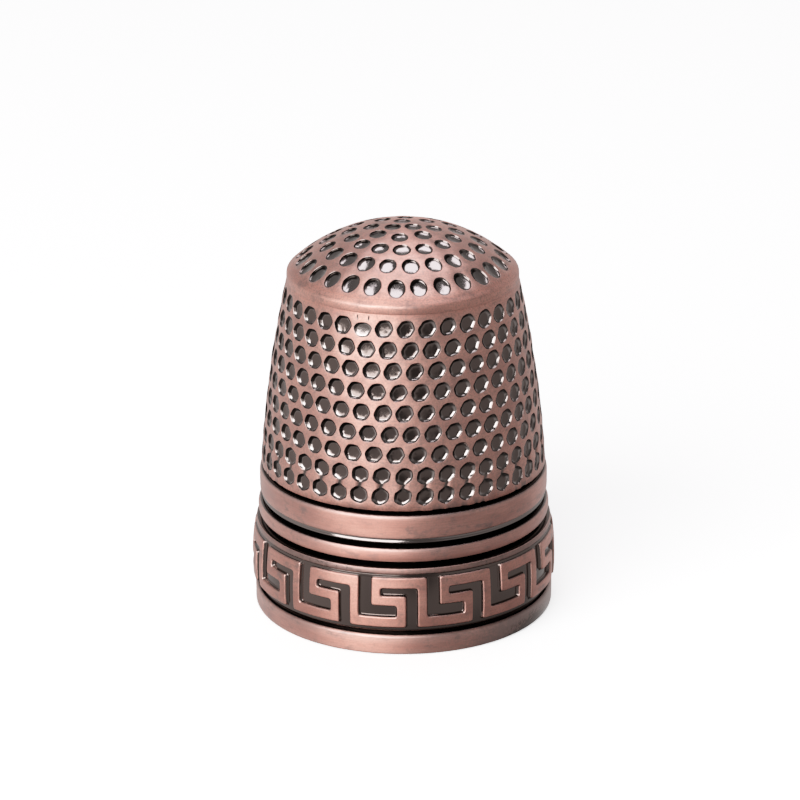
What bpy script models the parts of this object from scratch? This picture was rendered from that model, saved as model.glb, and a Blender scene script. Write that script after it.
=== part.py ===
"""Sewing thimble: a dimpled thimble with a Greek key band, made as six fitted metal pieces.

The thimble stands on its open rim.  The origin is at the middle of the base plane, +Z runs up
the axis to the crown, and the front of the key pattern faces -Y.  A thin tapered side wall runs
from under the crown to the base as one sleeve.  The crown cap drops into its top, and four
rings sit around and under its lower end.

All sizes below are in millimetres and degrees; the meshes are written in metres.
"""
import math

import bmesh
import bpy
from mathutils import Vector
from mathutils.geometry import delaunay_2d_cdt

MM = 0.001
FIT_GAP = 0.30            # clearance between neighbouring pieces
TURNED_SIDES = 60         # flats around every turned surface
SEAM_BACK = 180.0         # angle near which the unrolled wall is joined

# Side wall: a barrel taper from the foot of the dimpled field to the crown seam.
WALL_FOOT_Z = 8.95
WALL_TOP_Z = 20.20
WALL_FOOT_RADIUS = 8.42
WALL_TAPER = 0.0499       # radius lost per millimetre of height, at the foot
WALL_BULGE = 0.00749      # how quickly that taper grows, per millimetre
WALL_THICKNESS = 0.95
SLEEVE_OUTER_RADIUS = 7.82
SLEEVE_BOTTOM_Z = 0.65
FINGER_RADIUS = 7.42      # bore at the open end
BORE_STEPS = 4            # straight lengths that follow the barrel of the bore

# Crown: a spherical dome with a rolled shoulder and a spigot that locates it in the wall.
DOME_RADIUS = 10.2
DOME_TOP_Z = 23.5
DOME_EDGE_RADIUS = 6.35
DOME_THICKNESS = 1.0
SHOULDER_RADIUS = 6.87
SHOULDER_ROLL = 0.90
SPIGOT_BOTTOM_Z = 19.50
SPIGOT_WALL = 0.55
ROLL_STEPS = 4            # facets of the rolled shoulder
UNDERSIDE_RINGS = 4       # rings between the spigot and the middle of the hollow underside
UNDERSIDE_STEP = 0.23     # share of the spigot's bore lost from ring to ring

# Dimples: closed rings of pressed pits, hexagonal in this model.
PIT_WIDTH = 0.98
PIT_HEIGHT = 0.98
PIT_DEPTH = 0.26
PIT_SIDES = 6
WALL_ROWS = 9
TOP_ROW_Z = 19.575
ROW_PITCH = 1.20
ROW_GROWTH = 0.0065       # each row lies this much further from the last
PIT_PITCH = 1.272         # spacing of the pits around a row
PHASE_START = 1.2
PHASE_STEP = 1.9
PHASE_GAIN = 0.065
LAST_ROW_SHIFT = -0.5     # the lowest row lines up with the one above it

# Crown rings from the edge inwards: radius, number of pits, turn of the first pit.
CROWN_RINGS = ((5.79, 27, -4.0), (4.45, 21, 6.0), (3.145, 15, -0.7), (1.85, 8, -5.0), (0.70, 3, 62.0))

# Rings below the dimpled wall.
RING_BORE_RADIUS = SLEEVE_OUTER_RADIUS + FIT_GAP
COLLAR_Z = (7.20, 8.65)
COLLAR_RADIUS = 8.53
BEAD_Z = (5.78, 6.62)
BEAD_RADIUS = 8.65
BEAD_EDGE_DROP = 0.18     # how far the bead's edges lie inside its widest radius
BEAD_CROWNING = 0.10      # the same for the crowned face, growing with the square of the share
BEAD_SHARES = (-0.75, -0.35, 0.35, 0.75)
KEY_Z = (1.52, 5.44)
BASE_TOP_Z = 1.02
BASE_RADIUS = 8.88
BASE_BORE_RADIUS = 7.45
BASE_LEDGE_Z = SLEEVE_BOTTOM_Z - FIT_GAP
EDGE_ROUND = 0.12
EDGE_STEPS = 2            # facets of a rounded edge

# Greek key: a continuous raised meander of square bars on a lower ground.
KEY_UNITS = 14
KEY_PHASE = -17.0         # left edge of the unit nearest the front
KEY_RADIUS = 9.05         # face of the bars at the widest height
KEY_WAIST_Z = 2.9
KEY_BARREL = 0.036
KEY_RELIEF = 0.22
KEY_BAR = 3.6
KEY_OPEN_STEM = 4.7
KEY_HOOK = 6.0
KEY_CLOSED_STEM = 4.2
KEY_TOP_Z = 4.92
KEY_LIP_Z = 5.10
KEY_ROW_HEIGHTS = (0.66, 0.46, 0.60, 0.72, 0.66)

# One unit of the key, left to right and top to bottom: # is a raised bar, . is the ground.
KEY_PATTERN = (
    ".#####",
    ".#...#",
    ".###.#",
    "...#.#",
    "####.#",
)

COPPER = (0.53, 0.24, 0.17)
DARK_COPPER = (0.24, 0.13, 0.10)
SATIN_ROUGHNESS = 0.35
KEY_ROUGHNESS = 0.40
SHARP_ANGLE = 22.0        # edges bent more than this stay crisp


# ---------------------------------------------------------------------------------------------
# Shape rules
# ---------------------------------------------------------------------------------------------

def point_at(radius, degrees, z):
    """Point on a circle around the axis, in metres; 0 degrees is the front, turning to +X."""
    turn = math.radians(degrees)
    return Vector((radius * math.sin(turn), -radius * math.cos(turn), z)) * MM


def wall_radius(z):
    """Outside radius of the dimpled wall."""
    height = z - WALL_FOOT_Z
    return WALL_FOOT_RADIUS - WALL_TAPER * height - WALL_BULGE * height * height


def bore_radius(z):
    """Inside radius of the wall and sleeve."""
    if z <= WALL_FOOT_Z:
        return FINGER_RADIUS
    return min(FINGER_RADIUS, wall_radius(z) - WALL_THICKNESS)


def dome_z(radius, thickness=0.0):
    """Height of the dome, or of the surface the given thickness below it."""
    sphere = DOME_RADIUS - thickness
    return DOME_TOP_Z - DOME_RADIUS + math.sqrt(sphere * sphere - radius * radius)


def key_radius(z, raised):
    """Face of the barrel-shaped key band, on a bar or on the ground between bars."""
    face = KEY_RADIUS - KEY_BARREL * (z - KEY_WAIST_Z) ** 2
    return face if raised else face - KEY_RELIEF


def arc(centre, radius, start, end, steps):
    """Points of an arc in the (radius, z) plane, angles in degrees from the +radius direction."""
    points = []
    for i in range(steps + 1):
        turn = math.radians(start + (end - start) * i / steps)
        points.append((centre[0] + radius * math.cos(turn), centre[1] + radius * math.sin(turn)))
    return points


# ---------------------------------------------------------------------------------------------
# Mesh helpers
# ---------------------------------------------------------------------------------------------

def ring_of_verts(bm, radius, z, sides=TURNED_SIDES):
    return [bm.verts.new(point_at(radius, 360.0 * i / sides, z)) for i in range(sides)]


def bridge(bm, first, second):
    """Quads between two rings of the same number of corners, joined corner to corner."""
    count = len(first)
    for i in range(count):
        j = (i + 1) % count
        bm.faces.new((first[i], first[j], second[j], second[i]))


def bridge_profile(bm, start, profile, end):
    """Turn a profile between two rings that exist already; either may be None."""
    rings = [ring_of_verts(bm, radius, z) for radius, z in profile]
    if start is not None:
        rings.insert(0, start)
    if end is not None:
        rings.append(end)
    for lower, upper in zip(rings, rings[1:]):
        bridge(bm, lower, upper)
    return rings


def finish_object(name, bm, colour=COPPER, roughness=SATIN_ROUGHNESS):
    """Turn the bmesh into a named object with its own material."""
    bmesh.ops.recalc_face_normals(bm, faces=bm.faces)
    mesh = bpy.data.meshes.new(name)
    bm.to_mesh(mesh)
    bm.free()
    mesh.shade_smooth()
    mesh.set_sharp_from_angle(angle=math.radians(SHARP_ANGLE))
    material = bpy.data.materials.new(name + "_metal")
    material.use_nodes = True
    shader = material.node_tree.nodes["Principled BSDF"]
    shader.inputs["Base Color"].default_value = (*colour, 1.0)
    shader.inputs["Metallic"].default_value = 1.0
    shader.inputs["Roughness"].default_value = roughness
    mesh.materials.append(material)
    obj = bpy.data.objects.new(name, mesh)
    bpy.context.collection.objects.link(obj)
    return obj


def is_inside(point, outline):
    """Even-odd test of a point against a closed outline."""
    inside = False
    for (x1, y1), (x2, y2) in zip(outline, outline[1:] + outline[:1]):
        if (y1 > point[1]) != (y2 > point[1]):
            crossing = x1 + (point[1] - y1) * (x2 - x1) / (y2 - y1)
            if crossing > point[0]:
                inside = not inside
    return inside


def triangulate_field(outline, pits):
    """Triangles of a flat outline with pit rims held as edges; each pit also has its middle point.

    outline is a list of corners in order; pits is a list of (middle, rim corners).  Returns the
    points, a depth flag for each (1 at a pit's middle) and the triangles as index triples.
    """
    points = list(outline)
    edges = [(i, (i + 1) % len(outline)) for i in range(len(outline))]
    depth = [0.0] * len(points)
    for middle, rim in pits:
        first = len(points)
        points.extend(rim)
        depth.extend([0.0] * len(rim))
        edges.extend((first + i, first + (i + 1) % len(rim)) for i in range(len(rim)))
        points.append(middle)
        depth.append(1.0)
    placed = [Vector(point) for point in points]
    result = delaunay_2d_cdt(placed, edges, [list(range(len(outline)))], 1, 1e-6, True)
    faces, origin = result[2], result[3]
    source = [first_input[0] for first_input in origin]
    triangles = []
    for face in faces:
        corners = [source[i] for i in face]
        middle_x = sum(points[i][0] for i in corners) / 3.0
        middle_y = sum(points[i][1] for i in corners) / 3.0
        if is_inside((middle_x, middle_y), outline):
            triangles.append(corners)
    return points, depth, triangles


def pit_rim(middle, width, height):
    """Corners of one pit in the flat field, with a corner at the top and the bottom."""
    corners = []
    for k in range(PIT_SIDES):
        turn = math.radians(90.0 + 360.0 * k / PIT_SIDES)
        across = 0.5 * width * math.cos(turn)
        along = 0.5 * height * math.sin(turn)
        corners.append((middle[0] + across, middle[1] + along))
    return corners


# ---------------------------------------------------------------------------------------------
# Side wall
# ---------------------------------------------------------------------------------------------

def wall_rows():
    """Height, pit count and first pit angle of each row, from the crown down."""
    rows = []
    for row in range(WALL_ROWS):
        z = TOP_ROW_Z - ROW_PITCH * row - 0.5 * ROW_GROWTH * row * (row - 1)
        count = round(2.0 * math.pi * wall_radius(z) / PIT_PITCH)
        phase = PHASE_START + PHASE_STEP * row + PHASE_GAIN * row * row
        if row == WALL_ROWS - 1:
            phase = rows[-1][2] + LAST_ROW_SHIFT
        rows.append((z, count, phase))
    return rows


def seam_angles(rows):
    """Angle of a line down the back of the wall that passes between the pits of every row."""
    angles = []
    last = SEAM_BACK
    for z, count, phase in rows:
        step = 360.0 / count
        gap = phase + 0.5 * step
        angle = gap + step * round((last - gap) / step)
        angles.append(angle)
        last = angle
    return angles


def build_side_wall():
    rows = wall_rows()
    seam = seam_angles(rows)
    flat = WALL_FOOT_RADIUS * math.radians(1.0)     # millimetres per degree in the flat field

    # Right edge, top, left edge and bottom of the unrolled wall, as (degrees, z).
    step = 360.0 / TURNED_SIDES
    top_start = step * round(seam[0] / step)
    foot_start = step * round(seam[-1] / step)
    top = [(top_start - step * i, WALL_TOP_Z) for i in range(TURNED_SIDES + 1)]
    foot = [(foot_start - 360.0 + step * i, WALL_FOOT_Z) for i in range(TURNED_SIDES + 1)]
    left = [(angle - 360.0, row[0]) for angle, row in zip(seam, rows)]
    right = [(angle, row[0]) for angle, row in zip(reversed(seam), reversed(rows))]
    outline = top + left + foot + right

    pits = []
    for (z, count, phase), edge in zip(rows, seam):
        spacing = 360.0 / count
        first = phase + spacing * math.ceil((edge - 360.0 - phase) / spacing)
        width = PIT_WIDTH / wall_radius(z) * WALL_FOOT_RADIUS
        for i in range(count):
            middle = ((first + spacing * i) * flat, z)
            pits.append((middle, pit_rim(middle, width, PIT_HEIGHT)))

    flat_outline = [(degrees * flat, z) for degrees, z in outline]
    points, depth, triangles = triangulate_field(flat_outline, pits)

    bm = bmesh.new()
    verts = {}
    index = []
    for (x, z), deep in zip(points, depth):
        degrees = (x / flat) % 360.0
        key = (round(degrees, 4) % 360.0, round(z, 5))
        if key not in verts:
            radius = wall_radius(z) - PIT_DEPTH * deep
            verts[key] = bm.verts.new(point_at(radius, degrees, z))
        index.append(verts[key])
    for triangle in triangles:
        bm.faces.new([index[i] for i in triangle])

    top_ring = [verts[(round(step * i, 4), WALL_TOP_Z)] for i in range(TURNED_SIDES)]
    foot_ring = [verts[(round(step * i, 4), WALL_FOOT_Z)] for i in range(TURNED_SIDES)]
    profile = []
    for i in range(BORE_STEPS + 1):
        z = WALL_TOP_Z + (WALL_FOOT_Z - WALL_TOP_Z) * i / BORE_STEPS
        profile.append((bore_radius(z), z))
    profile.append((FINGER_RADIUS, SLEEVE_BOTTOM_Z))
    profile.append((SLEEVE_OUTER_RADIUS, SLEEVE_BOTTOM_Z))
    profile.append((SLEEVE_OUTER_RADIUS, WALL_FOOT_Z))
    bridge_profile(bm, top_ring, profile, foot_ring)
    return finish_object("side_wall", bm)


# ---------------------------------------------------------------------------------------------
# Crown cap
# ---------------------------------------------------------------------------------------------

def build_crown_cap():
    step = 360.0 / TURNED_SIDES
    outline = []
    for i in range(TURNED_SIDES):
        turn = math.radians(step * i)
        outline.append((DOME_EDGE_RADIUS * math.sin(turn), -DOME_EDGE_RADIUS * math.cos(turn)))
    pits = []
    for radius, count, phase in CROWN_RINGS:
        foreshortening = math.sqrt(1.0 - (radius / DOME_RADIUS) ** 2)
        for i in range(count):
            turn = math.radians(phase + 360.0 * i / count)
            middle = (radius * math.sin(turn), -radius * math.cos(turn))
            rim = []
            for across, along in pit_rim((0.0, 0.0), PIT_WIDTH, PIT_HEIGHT * foreshortening):
                rim.append((middle[0] + across * math.cos(turn) + along * math.sin(turn),
                            middle[1] + across * math.sin(turn) - along * math.cos(turn)))
            pits.append((middle, rim))
    points, depth, triangles = triangulate_field(outline, pits)

    bm = bmesh.new()
    verts = []
    for (x, y), deep in zip(points, depth):
        radius = math.hypot(x, y)
        surface = Vector((x, y, dome_z(radius)))
        centre = Vector((0.0, 0.0, DOME_TOP_Z - DOME_RADIUS))
        inwards = (centre - surface).normalized()
        verts.append(bm.verts.new((surface + inwards * PIT_DEPTH * deep) * MM))
    for triangle in triangles:
        bm.faces.new([verts[i] for i in triangle])
    dome_ring = verts[:TURNED_SIDES]

    # Rolled shoulder, flange, spigot and the hollow underside.
    roll_centre_radius = SHOULDER_RADIUS - SHOULDER_ROLL
    sphere_centre_z = DOME_TOP_Z - DOME_RADIUS
    roll_rise = math.sqrt((DOME_RADIUS - SHOULDER_ROLL) ** 2 - roll_centre_radius ** 2)
    roll_centre = (roll_centre_radius, sphere_centre_z + roll_rise)
    roll_start = math.degrees(math.atan2(roll_rise, roll_centre_radius))
    flange_z = WALL_TOP_Z + FIT_GAP
    profile = arc(roll_centre, SHOULDER_ROLL, roll_start, 0.0, ROLL_STEPS)
    profile[-1] = (SHOULDER_RADIUS, flange_z)
    spigot_radius = bore_radius(WALL_TOP_Z) - FIT_GAP
    spigot_bore = spigot_radius - SPIGOT_WALL
    profile.append((spigot_radius, flange_z))
    profile.append((spigot_radius, SPIGOT_BOTTOM_Z))
    profile.append((spigot_bore, SPIGOT_BOTTOM_Z))
    profile.append((spigot_bore, flange_z))
    for i in range(1, UNDERSIDE_RINGS + 1):
        radius = spigot_bore * (1.0 - UNDERSIDE_STEP * i)
        profile.append((radius, dome_z(radius, DOME_THICKNESS)))
    rings = bridge_profile(bm, dome_ring, profile, None)
    under_top = bm.verts.new((0.0, 0.0, (DOME_TOP_Z - DOME_THICKNESS) * MM))
    last = rings[-1]
    for i in range(len(last)):
        bm.faces.new((last[i], last[(i + 1) % len(last)], under_top))
    return finish_object("crown_cap", bm)


# ---------------------------------------------------------------------------------------------
# Turned rings
# ---------------------------------------------------------------------------------------------

def build_turned_ring(name, profile):
    """Closed ring turned from a closed profile of (radius, z) corners."""
    bm = bmesh.new()
    rings = bridge_profile(bm, None, profile, None)
    bridge(bm, rings[-1], rings[0])
    return finish_object(name, bm)


def rounded_face(bottom_z, top_z, outer):
    """Outer face of a plain band, with rounded edges, from the bottom up."""
    middle = outer - EDGE_ROUND
    lower = arc((middle, bottom_z + EDGE_ROUND), EDGE_ROUND, -90.0, 0.0, EDGE_STEPS)
    upper = arc((middle, top_z - EDGE_ROUND), EDGE_ROUND, 0.0, 90.0, EDGE_STEPS)
    return lower + upper


def build_collar_band():
    profile = [(RING_BORE_RADIUS, COLLAR_Z[0])]
    profile += rounded_face(COLLAR_Z[0], COLLAR_Z[1], COLLAR_RADIUS)
    profile += [(RING_BORE_RADIUS, COLLAR_Z[1])]
    return build_turned_ring("collar_band", profile)


def build_bead_ring():
    """Ring with a softly crowned outer face."""
    profile = [(RING_BORE_RADIUS, BEAD_Z[0]), (BEAD_RADIUS - BEAD_EDGE_DROP, BEAD_Z[0])]
    middle = 0.5 * (BEAD_Z[0] + BEAD_Z[1])
    half = 0.5 * (BEAD_Z[1] - BEAD_Z[0])
    for share in BEAD_SHARES:
        profile.append((BEAD_RADIUS - BEAD_CROWNING * share * share, middle + half * share))
    profile += [(BEAD_RADIUS - BEAD_EDGE_DROP, BEAD_Z[1]), (RING_BORE_RADIUS, BEAD_Z[1])]
    return build_turned_ring("bead_ring", profile)


def build_base_rim():
    """Foot ring: an L section whose ledge carries the end of the sleeve."""
    profile = [(BASE_BORE_RADIUS, 0.0)] + rounded_face(0.0, BASE_TOP_Z, BASE_RADIUS)
    profile += [(RING_BORE_RADIUS, BASE_TOP_Z), (RING_BORE_RADIUS, BASE_LEDGE_Z)]
    profile += [(BASE_BORE_RADIUS, BASE_LEDGE_Z)]
    return build_turned_ring("base_rim", profile)


# ---------------------------------------------------------------------------------------------
# Key band
# ---------------------------------------------------------------------------------------------

def key_columns():
    """Angles of the column edges around the whole band."""
    widths = (KEY_OPEN_STEM, KEY_BAR, KEY_HOOK, KEY_BAR, KEY_CLOSED_STEM, KEY_BAR)
    scale = 360.0 / KEY_UNITS / sum(widths)
    angles = []
    for unit in range(KEY_UNITS):
        angle = KEY_PHASE + 360.0 * unit / KEY_UNITS
        for width in widths:
            angles.append(angle)
            angle += width * scale
    return angles


def key_rows():
    """Heights of the row edges from the lower to the upper face, and each row's pattern."""
    heights = [KEY_Z[1], KEY_LIP_Z, KEY_TOP_Z]
    patterns = ["######", "......"]
    for height, pattern in zip(KEY_ROW_HEIGHTS, KEY_PATTERN):
        heights.append(heights[-1] - height)
        patterns.append(pattern)
    heights.append(KEY_Z[0])
    patterns.append("......")
    heights.reverse()
    patterns.reverse()
    return heights, patterns


def build_key_band():
    """Band with the meander standing proud of its ground, made cell by cell."""
    angles = key_columns()
    heights, patterns = key_rows()
    columns = len(angles)
    rows = len(patterns)
    bm = bmesh.new()
    cache = {}

    def vert(column, level, raised):
        key = (column % columns, level, raised)
        if key not in cache:
            radius = key_radius(heights[level], raised)
            cache[key] = bm.verts.new(point_at(radius, angles[key[0]], heights[level]))
        return cache[key]

    def is_raised(column, row):
        return patterns[row][column % len(patterns[row])] == "#"

    for column in range(columns):
        for row in range(rows):
            raised = is_raised(column, row)
            bm.faces.new((vert(column, row, raised), vert(column + 1, row, raised),
                          vert(column + 1, row + 1, raised), vert(column, row + 1, raised)))
            if is_raised(column + 1, row) != raised:
                bm.faces.new((vert(column + 1, row, True), vert(column + 1, row + 1, True),
                              vert(column + 1, row + 1, False), vert(column + 1, row, False)))
            if row + 1 < rows and is_raised(column, row + 1) != raised:
                bm.faces.new((vert(column, row + 1, True), vert(column + 1, row + 1, True),
                              vert(column + 1, row + 1, False), vert(column, row + 1, False)))

    bore_low = [bm.verts.new(point_at(RING_BORE_RADIUS, angle, KEY_Z[0])) for angle in angles]
    bore_high = [bm.verts.new(point_at(RING_BORE_RADIUS, angle, KEY_Z[1])) for angle in angles]
    bridge(bm, bore_low, bore_high)
    bridge(bm, bore_low, [vert(column, 0, False) for column in range(columns)])
    bridge(bm, bore_high, [vert(column, rows, True) for column in range(columns)])
    return finish_object("key_band", bm, DARK_COPPER, KEY_ROUGHNESS)


def main():
    for old in list(bpy.data.objects):
        bpy.data.objects.remove(old, do_unlink=True)
    build_crown_cap()
    build_side_wall()
    build_collar_band()
    build_bead_ring()
    build_key_band()
    build_base_rim()


main()
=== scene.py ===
"""Looks of the copper thimble: finely pressed dimples, turned rings and the raised Greek key.

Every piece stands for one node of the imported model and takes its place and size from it.
Sizes below are in millimetres and degrees; the meshes are written in metres.
"""

import math
import random

import bpy
import numpy as np
from mathutils import Matrix, Vector
from mathutils.geometry import delaunay_2d_cdt


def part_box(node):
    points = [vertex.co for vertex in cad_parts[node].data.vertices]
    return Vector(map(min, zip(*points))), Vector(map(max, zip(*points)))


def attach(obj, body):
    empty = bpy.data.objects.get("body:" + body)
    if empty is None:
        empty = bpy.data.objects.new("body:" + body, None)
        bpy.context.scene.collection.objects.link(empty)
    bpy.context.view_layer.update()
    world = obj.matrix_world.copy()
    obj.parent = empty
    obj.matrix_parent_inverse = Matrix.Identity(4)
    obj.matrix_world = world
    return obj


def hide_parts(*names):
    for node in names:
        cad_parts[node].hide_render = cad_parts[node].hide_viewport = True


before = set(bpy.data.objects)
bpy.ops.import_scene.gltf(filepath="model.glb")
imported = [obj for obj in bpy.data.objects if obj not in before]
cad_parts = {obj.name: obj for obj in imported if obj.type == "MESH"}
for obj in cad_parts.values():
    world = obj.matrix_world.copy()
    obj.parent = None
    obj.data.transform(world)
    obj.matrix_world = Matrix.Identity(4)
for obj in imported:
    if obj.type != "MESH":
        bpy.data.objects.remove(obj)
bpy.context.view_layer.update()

MM = 0.001
RING_SIDES = 240          # segments around a turned surface
FULL_TURN = 6.3           # radians; any phase of a wave lies within it
WALL_SEED, CROWN_SEED, KEY_SEED = 11, 23, 5

# Camera: a look from a little above, through a long lens.
CAMERA_ELEVATION = 20.92
CAMERA_DISTANCE = 243.4
CAMERA_AIM = (-0.19, 0.0, 12.6)
CAMERA_ROLL = -0.2
VIEW_WIDTH = 47.585       # width seen at the aim point
SENSOR_WIDTH = 36.0

# Side wall. Its radius shrinks by the taper per millimetre of height, and by the bulge per square.
WALL_TAPER = 0.0635
WALL_BULGE = 0.0070
WALL_THICKNESS = 0.95
FINGER_RADIUS = 7.42
BORE_STEPS = 12
BORE_PATINA = 0.35        # dull inner faces
UNEVEN_HEIGHT = 0.007
# Waves round the wall, waves up it in radians per millimetre, phase.
UNEVEN_WAVES = ((7, 1.9, 0.3), (11, -2.7, 2.1), (17, 3.8, 4.4), (5, -5.2, 1.2), (23, 0.9, 3.0))
UNEVEN_FADE = 0.4         # height over which the unevenness starts and ends
UNEVEN_TOP = 0.1          # plain height left at the top
SMEAR_STEP = 6            # segments between the slow changes of the ragged foot line
SMEAR_GAIN = 1.6
SMEAR_RISE = 0.11
SMEAR_PATINA = 0.8
SLEEVE_THICKNESS = 0.4
WALL_GROOVE = 0.26        # depth of the groove under the wall's foot

# Rows of pits on the wall. The pitch of the rows grows a little downwards, and the first pit of
# each row is turned further than the row above, so that the pits line up in slanting files.
WALL_ROWS = 9
TOP_ROW_DROP = 0.625      # first row's centres below the top edge of the wall
ROW_PITCH = 1.20
ROW_GROWTH = 0.0065
PIT_PITCH = 1.276
PHASE_START = 1.2
PHASE_STEP = 1.9
PHASE_GAIN = 0.065
LAST_ROW_SHIFT = -0.5     # the lowest row follows the one above it
PIT_JITTER = (0.12, 0.015)    # degrees round the wall, millimetres of height

# Outline and walls of a pit. Hex is 0 for a round pit and 1 for a hexagon.
PIT_WIDTH = 1.10
PIT_HEIGHT = 1.04
PIT_SIDES = 24
PIT_HEX = 0.55
PIT_HEX_RANGE = (0.7, 1.15)
PIT_OVAL = 0.018
PIT_LOBES = 0.016
PIT_SIZE_RANGE = (0.965, 1.015)
PIT_DEPTH_RANGE = (0.88, 1.08)
PIT_FLOOR_TILT = 0.03
CORNER_TURN = 8.0         # most that the hexagon's corners are turned, in degrees
LEAN_AXIS = math.radians(52.0)
LEAN_MOST = 0.085         # pits at the right lean more than those at the left
LEAN_FROM, LEAN_SPREAD = -12.0, 10.0      # degrees round the wall
NECK_SPREAD = 13.0        # half width, in degrees, of the neck between the two lowest rows
NECK_DEPTH = 0.15
FLUTING = 0.078           # unevenness of the pit walls left by the wheel's teeth
FLUTED_SHARES = (0.5, 0.98)
PIT_SLIDE = (0.025, -0.025)   # how far the pit floors lie right of and below the pit's middle
PIT_WALL_SHARE = 0.35     # part of the pit's half width taken by its sloping wall
# Painted shade: the upper-left wall of every pit is blackened where it faces away from the light.
SHADED_SIDE = (-0.75, 0.66)     # direction, right and up, of the pit side that gets painted shade
SHADE_REACH = 0.4
SHADE_SHARES = (0.70, 1.01)

# One shallow, knocked pit in the top row, with two nicks above it.
BATTERED_ANGLE = -19.0
BATTERED_DEPTH = 0.45
BATTERED_POLISH = 0.35
BATTERED_SHARE = 0.9      # the polish covers this share of the pit
BATTERED_TOP = 0.62       # its upper half is squeezed to this share
NICKS = ((-0.43, 0.25), (0.40, -0.15))    # shift to the right, turn in radians
NICK_RISE = 0.58
NICK_SIZE = (0.11, 0.30)
NICK_DEPTH = 0.12

CROWN_PIT_SIZE = 1.02
CROWN_PIT_SIZE_RANGE = (0.96, 1.03)
CROWN_PIT_JITTER = (0.5, 0.03)    # degrees round the axis, millimetres outwards
CROWN_PIT_HEX = 0.15
# Rings of crown pits: radius, count, angle of the first pit, length against width.
CROWN_RINGS = (
    (5.83, 27, -4.0, 1.24),
    (4.46, 21, 6.0, 1.15),
    (3.145, 15, -0.7, 1.0),
    (1.85, 8, -5.0, 1.0),
    (0.70, 3, 62.0, 1.0),
)

# Section of a pit from its surroundings inwards: share of the rim radius, depth, patina, wear.
PIT_SECTION = (
    (1.045, 0.000, 0.14, 0.2),
    (1.022, 0.001, 0.36, 0.6),
    (0.998, 0.014, 0.64, 0.5),
    (0.968, 0.036, 0.94, 0.1),
    (0.925, 0.062, 1.00, 0.4),
    (0.875, 0.088, 1.00, 0.8),
    (0.815, 0.113, 1.00, 0.9),
    (0.750, 0.135, 1.00, 0.8),
    (0.685, 0.151, 1.00, 0.3),
    (0.610, 0.163, 1.00, 0.0),
    (0.420, 0.174, 1.00, 0.0),
)
PIT_FLOOR_DEPTH = 0.178
CROWN_PIT_SECTION = (
    (1.060, 0.000, 0.10, 0.3),
    (1.028, 0.004, 0.28, 0.5),
    (1.000, 0.022, 0.65, 0.3),
    (0.974, 0.050, 0.95, 0.1),
    (0.945, 0.078, 1.00, 0.1),
    (0.915, 0.098, 1.00, 0.3),
    (0.880, 0.109, 1.00, 0.5),
    (0.820, 0.120, 1.00, 0.8),
    (0.720, 0.135, 1.00, 1.0),
    (0.580, 0.151, 1.00, 1.0),
    (0.400, 0.164, 1.00, 1.0),
    (0.200, 0.172, 1.00, 1.0),
)
CROWN_FLOOR_DEPTH = 0.174

# Crown dome, its rolled shoulder and its hollow underside, with a spigot that enters the wall.
DOME_RADIUS = 9.85
DOME_EDGE_RADIUS = 6.50
DOME_LIFT = 0.115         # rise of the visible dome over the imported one
DOME_THICKNESS = 1.0
SHOULDER_HANDLES = (0.42, 0.36)   # lengths of the curve's handles at the dome and at the side
SHOULDER_LOW_Z = 20.56
SHOULDER_SET = 0.02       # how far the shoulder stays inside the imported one
SHOULDER_STEPS = 14
NECKING_STEPS = 4
SPIGOT_GAP = 0.3
SPIGOT_WALL = 0.55
CEILING_STEPS = 8
CEILING_STEP = 0.12
SEAM_RISE = 0.20          # the wall is drawn this far over its packed top, to meet the crown
SEAM_GAP = 0.004
SEAM_LAP = 0.003          # how far the crown overhangs the wall there

# Rings.
RING_BORE = 8.12
PLATING = 0.06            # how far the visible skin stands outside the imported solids
FOOT_PLATING = 0.05       # the same for the key band and the foot ring
BASE_LIFT = 0.22
WALL_FOOT_GAP = 0.30
GROOVE_DEPTH = 0.42
COLLAR_STEP = 0.25        # height of the dark stepped-back face under the collar
# That face, from its foot up: inset from the collar's radius, height.
COLLAR_STEP_FACE = ((0.30, -0.05), (0.16, -0.035), (0.118, -0.01), (0.106, 0.015),
                    (0.110, 0.04), (0.124, 0.075), (0.146, 0.11), (0.160, 0.145))
COLLAR_CROWNING = 0.010
BEAD_CROWNING = 0.20
BEAD_ROUNDNESS = 0.75     # a lower power keeps the face flatter and its edges rounder
BEAD_PATINA_FROM, BEAD_WEAR_FROM = 0.86, 0.60     # shares of the half height
FOOT_ROUNDING = (0.17, 0.20)      # inset and height of the foot ring's rounded upper edge
FOOT_SHADE = 0.80              # darkest painted shade on the foot ring, towards its right, in place of the shadowed floor it reflects
FOOT_SHADE_ANGLE, FOOT_SHADE_SPREAD = 60.0, 32.0
FOOT_SHADE_FADE = 0.4          # share of that painted shade that is gone at the ring's top

# Greek key.
KEY_UNITS = 14
KEY_PHASE = -17.0
KEY_WAIST_Z = 2.9
KEY_BARREL = 0.036
KEY_RELIEF = 0.22
KEY_WIDTHS = (4.7, 3.6, 6.0, 3.6, 4.2, 3.6)     # columns of one unit, in proportion
KEY_TOP_DROP = 0.52       # from the band's upper edge to the top of the key
KEY_LIP = 0.38            # height of the plain lip above the key
KEY_ROW_HEIGHTS = (0.66, 0.46, 0.60, 0.72, 0.66)
KEY_PATTERN = (
    ".#####",
    ".#...#",
    ".###.#",
    "...#.#",
    "####.#",
)
KEY_BLUR = 0.115          # softness of the bar edges
KEY_EDGE_OFFSETS = (-0.13, -0.09, -0.06, -0.03, 0.0, 0.03, 0.06, 0.09, 0.13)
KEY_WAVINESS = 0.03
KEY_HARMONICS = range(3, 60)      # waves round the band that make its edges uneven
KEY_RAMP_START, KEY_RAMP_SPAN = 0.20, 0.60    # part of the blur in which the bars rise
KEY_EDGE, KEY_EDGE_SPREAD = 0.90, 0.10        # share of the relief with the most wear
KEY_LIP_SHARE = 0.74      # height of the lip, as a share of the relief
KEY_SHELF_SHARE = 0.40    # height of the shelf between key and lip
KEY_LIP_PATINA = 0.42

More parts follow.
